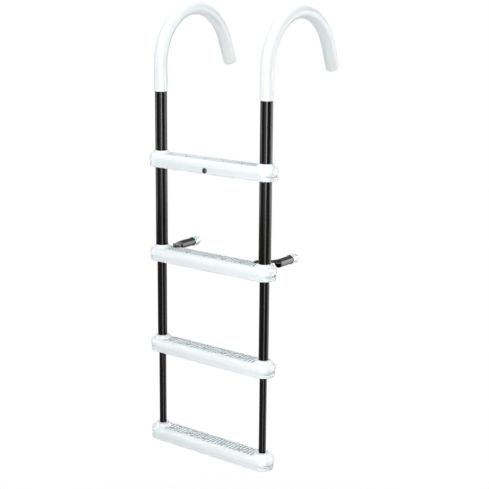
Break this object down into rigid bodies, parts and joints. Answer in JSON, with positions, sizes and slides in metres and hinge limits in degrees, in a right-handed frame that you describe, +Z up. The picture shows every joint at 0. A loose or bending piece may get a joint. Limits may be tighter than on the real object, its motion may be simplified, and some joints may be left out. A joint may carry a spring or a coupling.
{
  "type": "hook-on boat ladder",
  "caption": "Telescoping boat boarding ladder: bent rails with sleeved gunwale hooks, moulded steps with ribbed treads, folding stand-off arms.",
  "frame": {"origin": "midway between the two hooks, level with the undersides of their crowns where they bear on the gunwale", "axes": "+X along the steps, +Y from the rails towards the boat (the side the hooks reach over), +Z up"},
  "size_m": [0.4004, 0.347, 1.1865],
  "materials": {
    "black_tube": "black anodised, glossy",
    "standoff_tube": "brownish black anodised, satin",
    "white_sleeve": "soft white vinyl, satin",
    "white_cap": "soft white, satin",
    "screw": "stainless, brushed",
    "black_stud": "glossy black",
    "step_moulding": "glossy white",
    "guide_plastic": "smooth off-white"
  },
  "bodies": {
    "upper_frame": {"rail_left": "black_tube", "rail_right": "black_tube", "hook_sleeve_left": "white_sleeve", "hook_sleeve_right": "white_sleeve", "step_1_tread": "step_moulding", "step_1_base": "step_moulding", "step_1_stud": "black_stud", "step_2_tread": "step_moulding", "step_2_base": "step_moulding", "step_2_bush_left": "guide_plastic", "step_2_bush_right": "guide_plastic", "standoff_pivot_left": "screw", "standoff_pivot_right": "screw"},
    "middle_section": {"middle_tube_left": "black_tube", "middle_tube_right": "black_tube", "middle_guide_left": "guide_plastic", "middle_guide_right": "guide_plastic", "step_3_tread": "step_moulding", "step_3_base": "step_moulding", "step_3_collar_left": "guide_plastic", "step_3_collar_right": "guide_plastic", "step_3_bush_left": "guide_plastic", "step_3_bush_right": "guide_plastic"},
    "lower_section": {"lower_tube_left": "black_tube", "lower_tube_right": "black_tube", "lower_guide_left": "guide_plastic", "lower_guide_right": "guide_plastic", "step_4_tread": "step_moulding", "step_4_base": "step_moulding", "step_4_collar_left": "guide_plastic", "step_4_collar_right": "guide_plastic"},
    "standoff_left": {"standoff_arm_left": "standoff_tube", "standoff_cap_left": "white_cap"},
    "standoff_right": {"standoff_arm_right": "standoff_tube", "standoff_cap_right": "white_cap"}
  },
  "joints": [
    {"name": "middle_slide", "type": "slide", "parent": "upper_frame", "child": "middle_section", "axis": [0, 0, 1], "range_m": [0, 0.2057]},
    {"name": "lower_slide", "type": "slide", "parent": "middle_section", "child": "lower_section", "axis": [0, 0, 1], "range_m": [0, 0.2057]},
    {"name": "standoff_left_fold", "type": "hinge", "parent": "upper_frame", "child": "standoff_left", "pos_m": [-0.13425, -0.1205, -0.6085], "axis": [0, 0, -1], "range_deg": [0, 90]},
    {"name": "standoff_right_fold", "type": "hinge", "parent": "upper_frame", "child": "standoff_right", "pos_m": [0.13425, -0.1205, -0.6085], "axis": [0, 0, 1], "range_deg": [0, 90]}
  ]
}
